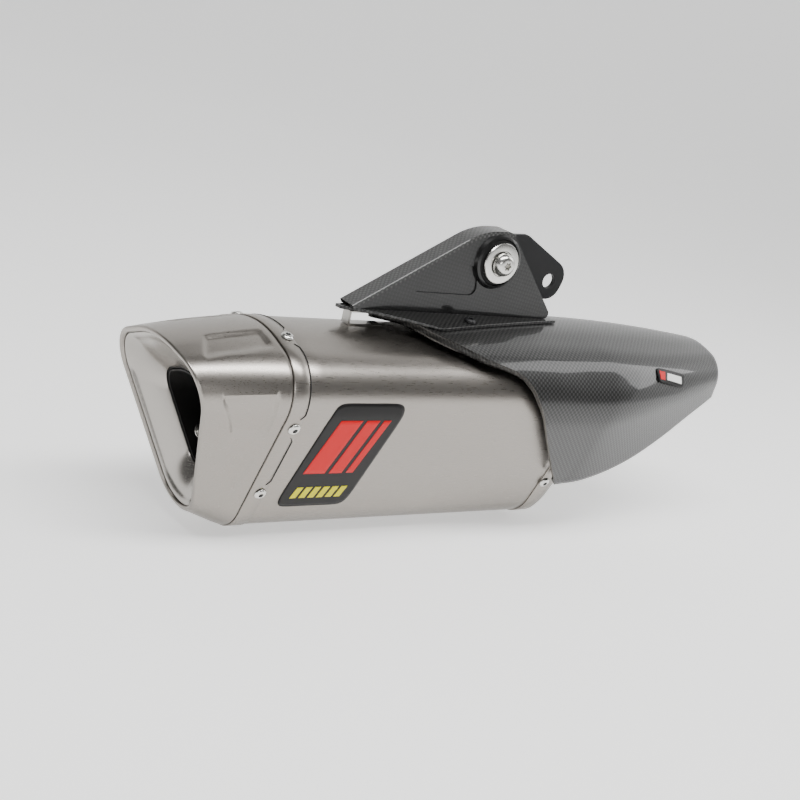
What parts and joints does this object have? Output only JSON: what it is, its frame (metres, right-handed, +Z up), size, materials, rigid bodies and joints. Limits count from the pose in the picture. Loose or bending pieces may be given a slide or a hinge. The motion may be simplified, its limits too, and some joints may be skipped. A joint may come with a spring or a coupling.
{
  "type": "motorcycle slip-on silencer",
  "caption": "Slip-on racing silencer: tapered slash-cut titanium can with a carbon heat shield, carbon hanger bracket, bush-mounted steel plate and clamped inlet.",
  "frame": {"origin": "middle of the rubber bush in the hanger bracket, on the hanger bolt's axis, where the motorcycle carries the silencer", "axes": "+X runs forward along the can, from the outlet towards the inlet; -Y is the outer side, away from the motorcycle; +Z is up"},
  "size_m": [0.5273, 0.1509, 0.2441],
  "materials": {
    "satin_titanium": "satin brushed titanium sheet",
    "sooted_steel": "black, sooted",
    "stainless_steel": "brushed",
    "zinc_plated_steel": "bright zinc plate",
    "carbon_fibre": "twill carbon fibre under gloss clear coat",
    "black_powder_coat": "black powder coat",
    "bush_rubber": "matt",
    "basalt_wool": "loose wool",
    "printed_label": "printed foil"
  },
  "bodies": {
    "silencer": {"bracket_screw_1": "zinc_plated_steel", "bracket_screw_2": "zinc_plated_steel", "bracket_screw_3": "zinc_plated_steel", "bush_collar": "zinc_plated_steel", "damper_screw": "zinc_plated_steel", "damper_washer": "zinc_plated_steel", "damper_weld_nut": "stainless_steel", "end_cap": "satin_titanium", "end_cap_dish": "satin_titanium", "front_baffle": "stainless_steel", "front_band": "satin_titanium", "front_cap": "satin_titanium", "front_rivet_1": "zinc_plated_steel", "front_rivet_2": "zinc_plated_steel", "front_rivet_3": "zinc_plated_steel", "front_rivet_4": "zinc_plated_steel", "front_rivet_5": "zinc_plated_steel", "front_rivet_6": "zinc_plated_steel", "front_rivet_7": "zinc_plated_steel", "hanger_bracket": "carbon_fibre", "hanger_saddle": "stainless_steel", "hanger_washer": "zinc_plated_steel", "heat_shield": "carbon_fibre", "link_pipe": "satin_titanium", "mount_bolt": "zinc_plated_steel", "mount_nut": "zinc_plated_steel", "noise_insert": "sooted_steel", "outlet_duct": "sooted_steel", "packing_wool": "basalt_wool", "perforated_core": "stainless_steel", "rear_baffle": "stainless_steel", "rear_band": "satin_titanium", "rear_rivet_1": "zinc_plated_steel", "rear_rivet_2": "zinc_plated_steel", "rear_rivet_3": "zinc_plated_steel", "rear_rivet_4": "zinc_plated_steel", "rear_rivet_5": "zinc_plated_steel", "rear_rivet_6": "zinc_plated_steel", "rear_rivet_7": "zinc_plated_steel", "rubber_bush": "bush_rubber", "shield_badge": "printed_label", "shield_boss": "bush_rubber", "shield_screw": "zinc_plated_steel", "shield_stay": "stainless_steel", "side_label": "printed_label", "sleeve": "satin_titanium", "tip_clip": "stainless_steel"},
    "hanger_plate": {"hanger_plate": "black_powder_coat"},
    "inlet_clamp": {"clamp_band": "stainless_steel", "clamp_bolt": "zinc_plated_steel", "clamp_nut": "zinc_plated_steel"}
  },
  "joints": [
    {"name": "hanger_plate_swivel", "type": "hinge", "parent": "silencer", "child": "hanger_plate", "pos_m": [0, 0, 0], "axis": [0, 1, 0], "range_deg": [-6, 6]},
    {"name": "inlet_clamp_swivel", "type": "hinge", "parent": "silencer", "child": "inlet_clamp", "pos_m": [0.234, 0, -0.1045], "axis": [1, 0, 0], "range_deg": [-35, 35]}
  ]
}
